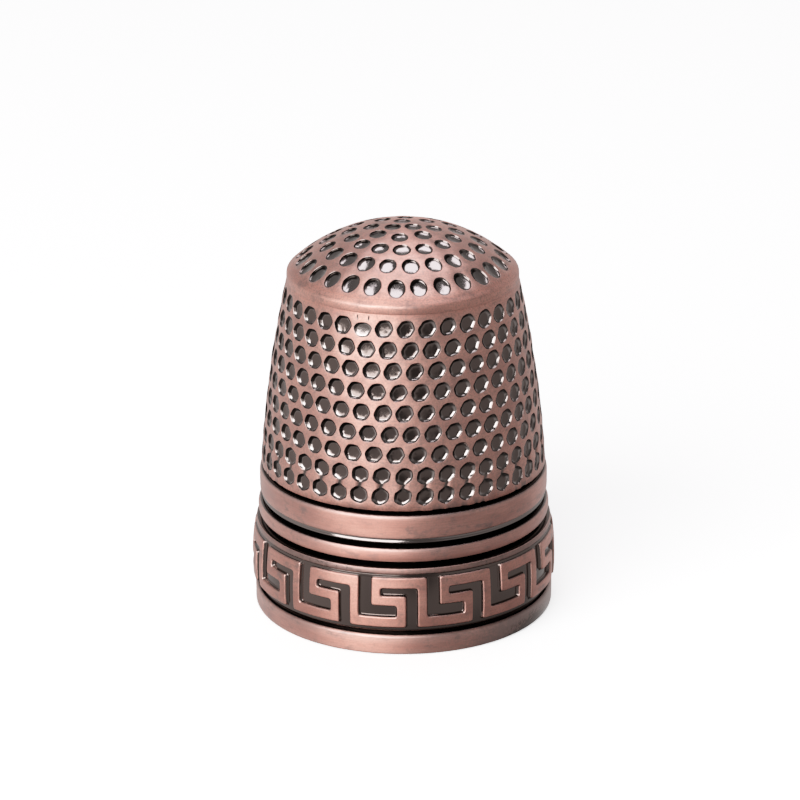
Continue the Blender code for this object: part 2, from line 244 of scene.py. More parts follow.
# Softboxes: name, place, aim, size, brightness of the face, tint.
SOFTBOXES = (
    ("key", (-184.0, -313.0, 226.0), (0.0, 0.0, 4.0), (400.0, 345.0), 9.15, (0.96, 1.0, 1.02)),
    ("overhead", (12.0, 85.0, 350.0), (0.0, 0.0, 10.0), (250.0, 230.0), 4.0, (0.97, 0.97, 1.05)),
)

# Brightness of the room, and what its pale left wall and pale back wall add.
ROOM_LIGHT = 0.455
LEFT_WALL_LIGHT = 0.34
LEFT_WALL_SPAN = (-0.25, -0.95)
BACK_WALL_LIGHT = 0.30
BACK_WALL_SPAN = (0.25, 0.80)
CEILING_SHADE = 0.30
CEILING_SPAN = (0.15, 0.60)
# Dark patches below and in front: direction, where the patch starts and is full, what is left.
DARK_PATCHES = (
    ((0.15, 0.0, -0.99), (0.45, 0.85), 0.12),
    ((0.19, -0.98, 0.05), (0.92, 0.985), 0.30),
)

FLOOR_RADIUS = 900.0
FLOOR_SIDES = 64
FLOOR_COLOUR = (0.93, 0.90, 0.88)
FLOOR_GLOW = 1.0

# Film: scene brightness that prints as white, and how finely its curve is drawn.
FILM_WHITE = 2.3
FILM_STEPS = 12


def in_mm(node):
    """A node's box in millimetres: radius, lowest and highest z."""
    low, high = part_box(node)
    return high[0] / MM, low[2] / MM, high[2] / MM


BASE_RADIUS, BASE_LOW, BASE_HIGH = in_mm("base_rim")
KEY_RADIUS, KEY_LOW, KEY_HIGH = in_mm("key_band")
BEAD_RADIUS, BEAD_LOW, BEAD_HIGH = in_mm("bead_ring")
COLLAR_RADIUS, COLLAR_LOW, COLLAR_HIGH = in_mm("collar_band")
WALL_RADIUS, SLEEVE_LOW, WALL_HIGH = in_mm("side_wall")
SHOULDER_RADIUS, SPIGOT_LOW, DOME_TOP = in_mm("crown_cap")
DOME_TOP += DOME_LIFT
WALL_FOOT = COLLAR_HIGH + WALL_FOOT_GAP
WALL_RADIUS += PLATING
COLLAR_RADIUS += PLATING
BEAD_RADIUS += PLATING
KEY_RADIUS += FOOT_PLATING
BASE_RADIUS += FOOT_PLATING
WALL_DEGREE = WALL_RADIUS * math.radians(1.0)     # a degree's length on the unrolled wall


# --- Mesh building ---

def circle(radius, z, turns):
    """Points round the axis; turn 0 faces the front."""
    radius = np.broadcast_to(radius, len(turns))
    z = np.broadcast_to(z, len(turns))
    return np.stack([radius * np.sin(turns), -radius * np.cos(turns), z], -1)


class Builder:
    """Collects points with their patina and painted shade, their wear, and faces, for one mesh."""

    def __init__(self):
        self.points = []
        self.patina_and_shade = []
        self.wear = []
        self.faces = []

    def add(self, points, patina_and_shade, wear):
        """Adds points (n by 3, millimetres) and returns their indices."""
        first = len(self.points)
        count = len(points)
        self.points.extend(np.asarray(points, float).tolist())
        self.patina_and_shade.extend(np.broadcast_to(patina_and_shade, count).tolist())
        self.wear.extend(np.broadcast_to(wear, count).tolist())
        return list(range(first, first + count))

    def ring(self, radius, z, patina_and_shade, wear, sides=RING_SIDES):
        """Adds a ring round the axis and returns its indices."""
        turns = 2.0 * np.pi * np.arange(sides) / sides
        return self.add(circle(radius, z, turns), patina_and_shade, wear)

    def bridge(self, lower, upper):
        """Adds the faces between two rings."""
        count = len(lower)
        for i in range(count):
            j = (i + 1) % count
            self.faces.append((lower[i], lower[j], upper[j], upper[i]))

    def lathe(self, profile, end=None):
        """Turns a profile of (radius, z, patina, wear), and joins it to an end ring if given."""
        rings = [self.ring(*entry) for entry in profile]
        if end is not None:
            rings.append(end)
        for lower, upper in zip(rings, rings[1:]):
            self.bridge(lower, upper)
        return rings

    def build(self, name, material):
        """Makes the object, with its patina and painted shade, and its wear, as attributes."""
        mesh = bpy.data.meshes.new(name)
        mesh.from_pydata((np.array(self.points) * MM).tolist(), [], self.faces)
        for attribute, values in (("patina_and_shade", self.patina_and_shade), ("wear", self.wear)):
            layer = mesh.attributes.new(attribute, "FLOAT", "POINT")
            layer.data.foreach_set("value", np.asarray(values, np.float32))
        mesh.validate()
        mesh.shade_smooth()
        mesh.materials.append(material)
        obj = bpy.data.objects.new(name, mesh)
        bpy.context.collection.objects.link(obj)
        return obj


def arc(centre, radius, start, end, steps, patina_and_shade, wear):
    """Profile points of an arc in the (radius, z) plane, degrees from the +radius direction."""
    points = []
    for i in range(steps + 1):
        turn = math.radians(start + (end - start) * i / steps)
        points.append((centre[0] + radius * math.cos(turn), centre[1] + radius * math.sin(turn),
                       patina_and_shade, wear))
    return points


def bezier(handles, share):
    """Point of a cubic Bezier curve in the (radius, z) plane."""
    back = 1.0 - share
    weights = (back ** 3, 3.0 * back * back * share, 3.0 * back * share * share, share ** 3)
    return tuple(sum(w * h[axis] for w, h in zip(weights, handles)) for axis in (0, 1))


def is_inside(point, outline):
    """Even-odd test of a point against a closed outline."""
    inside = False
    for (x1, y1), (x2, y2) in zip(outline, outline[1:] + outline[:1]):
        if (y1 > point[1]) != (y2 > point[1]):
            if x1 + (point[1] - y1) * (x2 - x1) / (y2 - y1) > point[0]:
                inside = not inside
    return inside


class Pit:
    """One pressed pit of a flat field: its middle, size, turn and small hand-made differences.

    facets is 0 for a round outline and 1 for a hexagon, lean stretches it along the lean axis, and
    neck is the direction, in degrees, of a neck that opens into a neighbouring pit.
    """

    def __init__(self, middle, size, turn, rng, facets=0.0, lean=0.0, neck=None):
        self.middle = middle
        self.turn = turn
        self.neck = neck
        self.angle = angle = 2.0 * np.pi * np.arange(PIT_SIDES) / PIT_SIDES
        first_corner = 0.0 if neck is None else 90.0
        corner = math.radians(first_corner + rng.uniform(-CORNER_TURN, CORNER_TURN))
        sector = np.mod(angle - corner, np.pi / 3.0) - np.pi / 6.0
        hexagon = math.cos(math.pi / 6.0) / np.cos(sector)
        hexagon = hexagon / hexagon.mean()
        share = 1.0 + facets * rng.uniform(*PIT_HEX_RANGE) * (hexagon - 1.0)
        for lobes, most in ((2.0, PIT_OVAL), (3.0, PIT_LOBES)):
            swell = most * rng.uniform(0.0, 1.0)
            share += swell * np.cos(lobes * angle + rng.uniform(0.0, FULL_TURN))
        share *= rng.uniform(*PIT_SIZE_RANGE)
        share *= 1.0 + lean * (np.cos(2.0 * (angle - LEAN_AXIS)) - 0.25)
        self.across = 0.5 * size[0] * share * np.cos(angle)
        self.along = 0.5 * size[1] * share * np.sin(angle)
        self.flutes = np.array([rng.uniform(-1.0, 1.0) for _ in range(PIT_SIDES)])
        self.depth = rng.uniform(*PIT_DEPTH_RANGE)
        self.tilt = [rng.uniform(-PIT_FLOOR_TILT, PIT_FLOOR_TILT) for _ in range(2)]
        self.polish = 0.0

    def loop(self, share):
        """Corners of one loop in the flat field, as a share of the pit's outline."""
        across = self.across * share
        along = self.along * share
        cos, sin = math.cos(self.turn), math.sin(self.turn)
        x = self.middle[0] + across * cos - along * sin
        y = self.middle[1] + across * sin + along * cos
        return x, y

    def neck_share(self):
        """How much each corner belongs to the notch that opens towards a neighbouring pit."""
        if self.neck is None:
            return np.zeros(PIT_SIDES)
        away = np.degrees(np.angle(np.exp(1j * (self.angle - math.radians(self.neck)))))
        return np.exp(-(away / NECK_SPREAD) ** 2)

    def sink(self, share, depth, notch):
        """Depth of each corner of one loop."""
        fluted = FLUTED_SHARES[0] < share < FLUTED_SHARES[1]
        sunk = depth * self.depth * (1.0 + self.tilt[0] * self.across + self.tilt[1] * self.along)
        sunk = sunk * (1.0 + FLUTING * self.flutes * fluted)
        return np.maximum(sunk, NECK_DEPTH * notch)

    def painted_shade(self, share, notch):
        """Painted shade on the pit's upper-left wall, added to its patina value."""
        side = SHADED_SIDE[0] * self.across + SHADED_SIDE[1] * self.along
        side = np.clip(side, 0.0, SHADE_REACH) / SHADE_REACH
        return side * (1.0 - notch) * (SHADE_SHARES[0] < share < SHADE_SHARES[1])


def sink_pit(builder, pit, place, section, floor_depth, slide):
    """Adds one pit's loops, walls and floor, and returns the points of its outermost loop."""
    notch = pit.neck_share()
    loops = []
    for share, depth, patina_and_shade, wear in section:
        x, y = pit.loop(share)
        shift = min(1.0, max(0.0, (1.0 - share) / PIT_WALL_SHARE))
        x, y = x + slide[0] * shift, y + slide[1] * shift
        points = place(x, y, pit.sink(share, depth, notch))
        # patina in the pit's hollow, plus painted shade on its upper-left wall
        dark = np.maximum(patina_and_shade, notch) + pit.painted_shade(share, notch)
        polish = np.maximum(wear, pit.polish * (share < BATTERED_SHARE)) * (1.0 - notch)
        loops.append(builder.add(points, dark, polish))
    for outer, inner in zip(loops, loops[1:]):
        builder.bridge(outer, inner)
    x, y = pit.loop(0.0)
    floor = place(x[:1] + slide[0], y[:1] + slide[1], np.array([floor_depth * pit.depth]))
    middle = builder.add(floor, 1.0, max(section[-1][3], pit.polish))[0]
    last = loops[-1]
    for i in range(PIT_SIDES):
        builder.faces.append((last[i], last[(i + 1) % PIT_SIDES], middle))
    return loops[0]


def dimple_field(builder, outline, outline_keys, pits, place, section, floor_depth, slide):
    """Fills a flat outline with land between pits, and sinks each pit loop by loop.

    place(x, y, depth) gives the points in space.  outline_keys names the outline's corners, so
    that the two sides of a seam share their points.  slide shifts the pit floors off centre.
    Returns the index of each named corner.
    """
    named = {}
    for (x, y), key in zip(outline, outline_keys):
        if key not in named:
            point = place(np.array([x]), np.array([y]), np.zeros(1))
            named[key] = builder.add(point, 0.0, 0.0)[0]
    rims = []
    index = [named[key] for key in outline_keys]
    for pit in pits:
        x, y = pit.loop(section[0][0])
        rims.append(list(zip(x.tolist(), y.tolist())))
        index.extend(sink_pit(builder, pit, place, section, floor_depth, slide))

    corners = []
    edges = []
    owner = []
    for number, loop in enumerate([outline] + rims):
        first = len(corners)
        corners.extend(loop)
        owner.extend([number] * len(loop))
        edges.extend((first + i, first + (i + 1) % len(loop)) for i in range(len(loop)))
    result = delaunay_2d_cdt([Vector(corner) for corner in corners], edges, [], 0, 1e-6, True)
    placed, faces, origin = result[0], result[2], result[3]
    if len(placed) != len(corners):
        raise ValueError("two pits overlap")
    for face in faces:
        ids = [origin[i][0] for i in face]
        owners = {owner[i] for i in ids}
        if len(owners) == 1:
            number = owners.pop()
            middle = [sum(corners[i][axis] for i in ids) / 3.0 for axis in (0, 1)]
            in_pit = number > 0 and is_inside(middle, rims[number - 1])
            off_field = number == 0 and not is_inside(middle, outline)
            if in_pit or off_field:
                continue
        builder.faces.append(tuple(index[i] for i in ids))
    return named


# --- Side wall ---

def wall_radius(z):
    """Radius of the tapered, slightly barrelled wall."""
    height = z - WALL_FOOT
    return WALL_RADIUS - WALL_TAPER * height - WALL_BULGE * height * height


def unevenness(turn, z):
    """Slight hand-worked waviness of the wall, the same on both sides of the seam."""
    wave = 0.0
    for around, up, shift in UNEVEN_WAVES:
        wave = wave + np.cos(around * turn + up * z + shift)
    fade = np.clip((z - WALL_FOOT) / UNEVEN_FADE, 0.0, 1.0)
    fade = fade * np.clip((WALL_HIGH - UNEVEN_TOP - z) / UNEVEN_FADE, 0.0, 1.0)
    return UNEVEN_HEIGHT * wave * fade


def place_on_wall(x, z, depth):
    """Point of the flat wall field on the wall, sunk along the wall's normal."""
    turn = x / WALL_RADIUS
    radius = wall_radius(z) + unevenness(turn, z)
    slope = np.arctan(WALL_TAPER + 2.0 * WALL_BULGE * (z - WALL_FOOT))
    return circle(radius - depth * np.cos(slope), z - depth * np.sin(slope), turn)


def wall_rows():
    """Height, pit count and first pit angle of each row, from the crown down."""
    rows = []
    for row in range(WALL_ROWS):
        z = WALL_HIGH - TOP_ROW_DROP - ROW_PITCH * row - 0.5 * ROW_GROWTH * row * (row - 1)
        count = round(2.0 * math.pi * wall_radius(z) / PIT_PITCH)
        phase = PHASE_START + PHASE_STEP * row + PHASE_GAIN * row * row
        if row == WALL_ROWS - 1:
            phase = rows[-1][2] + LAST_ROW_SHIFT
        rows.append((z, count, phase))
    return rows


def seam_angles(rows):
    """Angle at each row where the unrolled wall is cut, always between two pits."""
    seam = []
    last = 180.0
    for z, count, phase in rows:
        step = 360.0 / count
        gap = phase + 0.5 * step
        last = gap + step * round((last - gap) / step)
        seam.append(last)
    return seam


def wall_outline(rows, seam, top_edge):
    """Corners of the unrolled wall as (degrees, z), from its top edge round by its foot."""
    step = 360.0 / RING_SIDES
    top_start = step * round(seam[0] / step)
    foot_start = step * round(seam[-1] / step)
    outline = [(top_start - step * i, top_edge) for i in range(RING_SIDES + 1)]
    outline += [(angle - 360.0, row[0]) for angle, row in zip(seam, rows)]
    outline += [(foot_start - 360.0 + step * i, WALL_FOOT) for i in range(RING_SIDES + 1)]
    outline += [(angle, row[0]) for angle, row in zip(reversed(seam), reversed(rows))]
    return outline


def corner_name(angle, z):
    """The same name for a corner at either side of the seam."""
    return round(angle % 360.0, 3) % 360.0, round(z, 4)


def batter(pit, rng):
    """Makes a pit shallow and polished, and returns the nicks above it."""
    pit.depth = BATTERED_DEPTH
    pit.polish = BATTERED_POLISH
    pit.along = np.where(pit.along > 0.0, BATTERED_TOP * pit.along, pit.along)
    nicks = []
    for side, turn in NICKS:
        nick = Pit((pit.middle[0] + side, pit.middle[1] + NICK_RISE), NICK_SIZE, turn, rng)
        nick.depth = NICK_DEPTH
        nicks.append(nick)
    return nicks


def wall_pits(rows, seam, rng):
    """All pits of the unrolled wall, row by row from the crown down."""
    pits = []
    for number, ((z, count, phase), edge) in enumerate(zip(rows, seam)):
        spacing = 360.0 / count
        first = phase + spacing * math.ceil((edge - 360.0 - phase) / spacing)
        size = (PIT_WIDTH / wall_radius(z) * WALL_RADIUS, PIT_HEIGHT)
        neck = {WALL_ROWS - 2: -90.0, WALL_ROWS - 1: 90.0}.get(number)
        for i in range(count):
            angle = first + spacing * i + rng.uniform(-PIT_JITTER[0], PIT_JITTER[0])
            y = z + rng.uniform(-PIT_JITTER[1], PIT_JITTER[1])
            lean = 0.5 * LEAN_MOST * (1.0 + math.tanh((angle - LEAN_FROM) / LEAN_SPREAD))
            pit = Pit((angle * WALL_DEGREE, y), size, 0.0, rng, PIT_HEX, lean, neck)
            pits.append(pit)
            if number == 0 and abs(angle - BATTERED_ANGLE) < 0.5 * spacing:
                pits.extend(batter(pit, rng))
    return pits


def ragged_line(rng):
    """Heights round the foot of the wall, as shares, where the patina has crept up unevenly."""
    spots = RING_SIDES // SMEAR_STEP
    fine = np.array([rng.random() ** 2 for _ in range(RING_SIDES)])
    coarse = np.array([rng.random() for _ in range(spots)])
    smooth = np.interp(np.arange(RING_SIDES) / SMEAR_STEP, np.arange(spots), coarse)
    return fine * (smooth ** 2 * SMEAR_GAIN)


def build_side_wall(material, top_edge):
    """Dimpled wall up to top_edge, with its groove at the foot and its smooth bore."""
    rng = random.Random(WALL_SEED)
    rows = wall_rows()
    seam = seam_angles(rows)
    outline = wall_outline(rows, seam, top_edge)
    names = [corner_name(*corner) for corner in outline]
    outline = [(angle * WALL_DEGREE, z) for angle, z in outline]
    pits = wall_pits(rows, seam, rng)
    builder = Builder()
    named = dimple_field(builder, outline, names, pits, place_on_wall, PIT_SECTION,
                         PIT_FLOOR_DEPTH, PIT_SLIDE)
    foot = [named[corner_name(360.0 * i / RING_SIDES, WALL_FOOT)] for i in range(RING_SIDES)]

    top_radius = wall_radius(top_edge)
    inner = [(top_radius, top_edge, 0.5, 0.0), (top_radius - 0.1, top_edge, 1.0, 0.0),
             (top_radius - WALL_THICKNESS, top_edge, 1.0, 0.0)]
    for i in range(1, BORE_STEPS + 1):
        z = top_edge + (WALL_FOOT - top_edge) * i / BORE_STEPS
        radius = min(FINGER_RADIUS, wall_radius(z) - WALL_THICKNESS)
        inner.append((radius, z, BORE_PATINA, 0.0))
    sleeve = FINGER_RADIUS + SLEEVE_THICKNESS
    groove = WALL_RADIUS - WALL_GROOVE
    ragged = ragged_line(rng)
    inner += [(FINGER_RADIUS, SLEEVE_LOW, BORE_PATINA, 0.0), (sleeve, SLEEVE_LOW, 0.6, 0.0),
              (sleeve, COLLAR_HIGH - 0.2, 1.0, 0.0), (groove, COLLAR_HIGH - 0.2, 1.0, 0.0),
              (groove, WALL_FOOT - 0.10, 1.0, 0.0),
              (WALL_RADIUS - 0.17, WALL_FOOT - 0.05, 1.0, 0.0),
              (WALL_RADIUS - 0.06, WALL_FOOT - 0.045 + 0.10 * ragged, 1.0, 0.0),
              (WALL_RADIUS - 0.014, WALL_FOOT - 0.016 + 0.08 * ragged, 0.4 + 0.6 * ragged, 0.6)]
    builder.lathe(inner, end=foot)
    for index, rise in zip(foot, ragged):
        builder.points[index][2] += SMEAR_RISE * rise
        builder.patina_and_shade[index] = SMEAR_PATINA * rise
    return builder.build("dimpled_wall", material)


# --- Crown ---

def place_on_dome(x, y, depth):
    """Point of the dome seen from above, sunk towards the centre of its sphere."""
    z = np.sqrt(DOME_RADIUS * DOME_RADIUS - x * x - y * y)
    share = (DOME_RADIUS - depth) / DOME_RADIUS
    return np.stack([x * share, y * share, z * share + DOME_TOP - DOME_RADIUS], -1)


def crown_pits(rng):
    """Rings of pits on the dome, seen from above."""
    pits = []
    for radius, count, phase, stretch in CROWN_RINGS:
        foreshortening = math.sqrt(1.0 - (radius / DOME_RADIUS) ** 2)
        for i in range(count):
            shift = rng.uniform(-CROWN_PIT_JITTER[0], CROWN_PIT_JITTER[0])
            angle = math.radians(phase + 360.0 * i / count + shift)
            out = radius + rng.uniform(-CROWN_PIT_JITTER[1], CROWN_PIT_JITTER[1])
            middle = (out * math.sin(angle), -out * math.cos(angle))
            width = CROWN_PIT_SIZE * rng.uniform(*CROWN_PIT_SIZE_RANGE)
            size = (width, width * foreshortening * stretch)
            pits.append(Pit(middle, size, angle, rng, CROWN_PIT_HEX))
    return pits


def shoulder_profile(centre_z, foot_radius, lower_edge):
    """The rolled shoulder from the dome's edge, and the slight necking under it."""
    shoulder = SHOULDER_RADIUS - SHOULDER_SET
    edge_z = centre_z + math.sqrt(DOME_RADIUS ** 2 - DOME_EDGE_RADIUS ** 2)
    tilt = math.asin(DOME_EDGE_RADIUS / DOME_RADIUS)
    upper, lower = SHOULDER_HANDLES
    handles = ((DOME_EDGE_RADIUS, edge_z),
               (DOME_EDGE_RADIUS + upper * math.cos(tilt), edge_z - upper * math.sin(tilt)),
               (shoulder, SHOULDER_LOW_Z + lower), (shoulder, SHOULDER_LOW_Z))
    profile = []
    for step in range(1, SHOULDER_STEPS + 1):
        profile.append((*bezier(handles, step / SHOULDER_STEPS), 0.0, 0.1))
    for step in range(1, NECKING_STEPS + 1):
        share = step / NECKING_STEPS
        radius = shoulder + (foot_radius - shoulder) * share * share
        z = SHOULDER_LOW_Z + (lower_edge - SHOULDER_LOW_Z) * share
        profile.append((radius, z, 0.0, 0.1))
    return profile


def build_crown(material, lower_edge):
    """Dimpled dome with its rolled shoulder down to lower_edge, spigot and hollow underside."""
    rng = random.Random(CROWN_SEED)
    turns = 2.0 * np.pi * np.arange(RING_SIDES) / RING_SIDES
    outline = circle(DOME_EDGE_RADIUS, 0.0, turns)[:, :2].tolist()
    builder = Builder()
    named = dimple_field(builder, outline, range(RING_SIDES), crown_pits(rng), place_on_dome,
                         CROWN_PIT_SECTION, CROWN_FLOOR_DEPTH, (0.0, 0.0))
    dome_ring = [named[key] for key in range(RING_SIDES)]

    centre_z = DOME_TOP - DOME_RADIUS
    foot_radius = wall_radius(lower_edge) + SEAM_LAP
    profile = shoulder_profile(centre_z, foot_radius, lower_edge)
    builder.lathe(profile[::-1], end=dome_ring)

    spigot = wall_radius(WALL_HIGH) - WALL_THICKNESS - SPIGOT_GAP
    hollow = spigot - SPIGOT_WALL
    under = DOME_RADIUS - DOME_THICKNESS
    profile = [(foot_radius, lower_edge, 0.4, 0.0), (foot_radius - 0.08, lower_edge, 1.0, 0.0),
               (spigot, lower_edge, 1.0, 0.0), (spigot, SPIGOT_LOW, 0.6, 0.0),
               (hollow, SPIGOT_LOW, 0.4, 0.0), (hollow, WALL_HIGH + SEAM_RISE, BORE_PATINA, 0.0)]
    for i in range(1, CEILING_STEPS + 1):
        radius = hollow * (1.0 - CEILING_STEP * i)
        z = centre_z + math.sqrt(under * under - radius * radius)
        profile.append((radius, z, BORE_PATINA, 0.0))
    ceiling = builder.lathe(profile[::-1])[0]
    middle = builder.add([(0.0, 0.0, DOME_TOP - DOME_THICKNESS)], BORE_PATINA, 0.0)[0]
    for i in range(RING_SIDES):
        builder.faces.append((ceiling[(i + 1) % RING_SIDES], ceiling[i], middle))
    return builder.build("dimpled_crown", material)


# --- Turned rings ---

def turned(profile):
    """Builder that holds a ring, turned from a profile which closes on itself."""
    builder = Builder()
    rings = builder.lathe(profile)
    builder.bridge(rings[-1], rings[0])
    return builder


def build_collar(material):
    """Plain band with soft edges; below it the sloping upper wall of the dark groove."""
    r, low, high = COLLAR_RADIUS, COLLAR_LOW, COLLAR_HIGH
    step = low - COLLAR_STEP
    groove_z = BEAD_HIGH - 0.02
    profile = [(RING_BORE, groove_z, 1.0, 0.0), (r - GROOVE_DEPTH, groove_z, 1.0, 0.0),
               (r - GROOVE_DEPTH, step - 0.06, 1.0, 0.0)]
    profile += [(r - inset, step + rise, 1.0, 0.4) for inset, rise in COLLAR_STEP_FACE]
    # Rounded lower edge, crowned face, rounded upper edge.
    profile += [(r - 0.168, low - 0.05, 1.0, 0.4), (r - 0.165, low - 0.02, 1.0, 0.0),
                (r - 0.130, low - 0.004, 1.0, 0.0), (r - 0.085, low, 0.7, 0.1),
                (r - 0.052, low + 0.035, 0.35, 0.3), (r - 0.026, low + 0.085, 0.12, 0.3),
                (r - 0.010, low + 0.16, 0.0, 0.1)]
    for share in (0.25, 0.45, 0.65, 0.82):
        inset = COLLAR_CROWNING * (2.0 * share - 0.9) ** 2
        profile.append((r - inset, low + share * (high - low), 0.0, 0.0))
    profile += [(r - 0.022, high - 0.14, 0.05, 0.2), (r - 0.052, high - 0.065, 0.2, 0.3),
                (r - 0.100, high - 0.018, 0.5, 0.1), (r - 0.160, high, 0.9, 0.0),
                (r - 0.26, high - 0.01, 1.0, 0.0), (RING_BORE, high - 0.01, 1.0, 0.0)]
    return turned(profile).build("plain_band", material)


def build_bead(material):
    """Crowned ring between two dark grooves."""
    r, low, high = BEAD_RADIUS, BEAD_LOW, BEAD_HIGH
    half = 0.5 * (high - low)
    middle = 0.5 * (high + low)
    profile = [(RING_BORE, KEY_HIGH, 1.0, 0.0), (r - GROOVE_DEPTH, KEY_HIGH, 1.0, 0.0),
               (r - 0.40, low - 0.12, 1.0, 0.0), (r - 0.33, low - 0.05, 1.0, 0.0),
               (r - 0.24, low - 0.01, 1.0, 0.0)]
    for turn in range(-80, 81, 10):
        slant = math.radians(turn)
        inset = BEAD_CROWNING * (1.0 - math.cos(slant) ** BEAD_ROUNDNESS)
        edge = abs(math.sin(slant))
        patina_and_shade = max(0.0, (edge - BEAD_PATINA_FROM) * 6.0)
        wear = max(0.0, edge - BEAD_WEAR_FROM)
        profile.append((r - inset, middle + half * math.sin(slant), patina_and_shade, wear))
    profile += [(r - 0.24, high + 0.005, 1.0, 0.0), (r - 0.33, high - 0.02, 1.0, 0.0),
                (RING_BORE, high - 0.02, 1.0, 0.0)]
    return turned(profile).build("bead", material)


def build_base(material):
    """Foot ring: the rim that the thimble stands on, with its inner ledge and painted shade
    towards its right.
    """
    r, low, high = BASE_RADIUS, BASE_LOW, BASE_HIGH + BASE_LIFT
    bore = FINGER_RADIUS + 0.03
    ledge = SLEEVE_LOW - 0.3
    # Up the outside: foot, rounded lower edge, face, rounded upper edge, dark groove, back.
    profile = [(bore, ledge, 0.5, 0.0), (bore, low + 0.06, 0.4, 0.0), (bore + 0.06, low, 0.2, 0.6),
               (r - 0.34, low, 0.2, 0.0), (r - 0.20, low + 0.012, 0.3, 0.2)]
    profile += arc((r - 0.16, low + 0.18), 0.15, -72.0, -8.0, 6, 0.05, 0.2)
    profile += [(r - 0.004, low + 0.40, 0.0, 0.0), (r - 0.004, low + 0.60, 0.0, 0.0)]
    deep, tall = FOOT_ROUNDING
    for turn in range(10, 90, 13):
        slant = math.radians(turn)
        inset = deep * (1.0 - math.cos(slant))
        patina_and_shade = max(0.0, (turn - 50.0) / 55.0)
        profile.append((r - inset, high - tall + tall * math.sin(slant), patina_and_shade, 0.3))
    profile += [(r - 0.21, high + 0.002, 1.0, 0.0), (r - 0.28, high - 0.01, 1.0, 0.0),
                (r - 0.38, high - 0.02, 1.0, 0.0), (r - 0.40, KEY_LOW - 0.02, 1.0, 0.0),
                (RING_BORE, KEY_LOW - 0.02, 1.0, 0.0), (RING_BORE, ledge, 1.0, 0.0)]
    builder = turned(profile)
    # Painted shade towards the right of the rim, fading towards its top, added to the patina
    # values.
    for index, (x, y, z) in enumerate(builder.points):
        turn = math.degrees(math.atan2(x, -y))
        foot_shading = FOOT_SHADE * math.exp(-((turn - FOOT_SHADE_ANGLE) / FOOT_SHADE_SPREAD) ** 2)
        foot_shading *= 1.0 - FOOT_SHADE_FADE * min(1.0, max(0.0, (z - low) / (high - low)))
        builder.patina_and_shade[index] = max(builder.patina_and_shade[index], foot_shading)
    return builder.build("foot_rim", material)


# --- Key band ---

def blurred_span(values, low, high):
    """Share of a soft-edged span at each value."""
    erf = np.vectorize(math.erf)
    return 0.5 * (erf((values - low) / KEY_BLUR) - erf((values - high) / KEY_BLUR))


def spread(edges, offsets, low, high):
    """Sorted grid values: offsets around each edge, kept inside the range."""
    values = {round(edge + offset, 5) for edge in edges for offset in offsets}
    values |= {round(low, 5), round(high, 5)}
    return np.array(sorted(v for v in values if low - 1e-6 <= v <= high + 1e-6))


def running_edges(start, steps):
    """The start, and each place reached by adding the steps one by one."""
    edges = [start]
    for step in steps:
        edges.append(edges[-1] + step)
    return edges


def raised_key(x_unit, z_grid, unit, columns, rows):
    """Softly raised share of one unit of the meander, over a grid of heights and lengths."""
    raised = np.zeros((len(z_grid), len(x_unit)))
    for row, pattern in enumerate(KEY_PATTERN):
        across = np.zeros(len(x_unit))
        for column, mark in enumerate(pattern):
            if mark == "#":
                low, high = columns[column], columns[column + 1]
                for wrap in (-unit, 0.0, unit):
                    across += blurred_span(x_unit, low + wrap, high + wrap)
        raised += np.outer(blurred_span(z_grid, rows[row + 1], rows[row]), across)
    return raised


def key_barrel(z):
    """Radius of the key band's slightly bulging face."""
    return KEY_RADIUS - KEY_BARREL * (z - KEY_WAIST_Z) ** 2


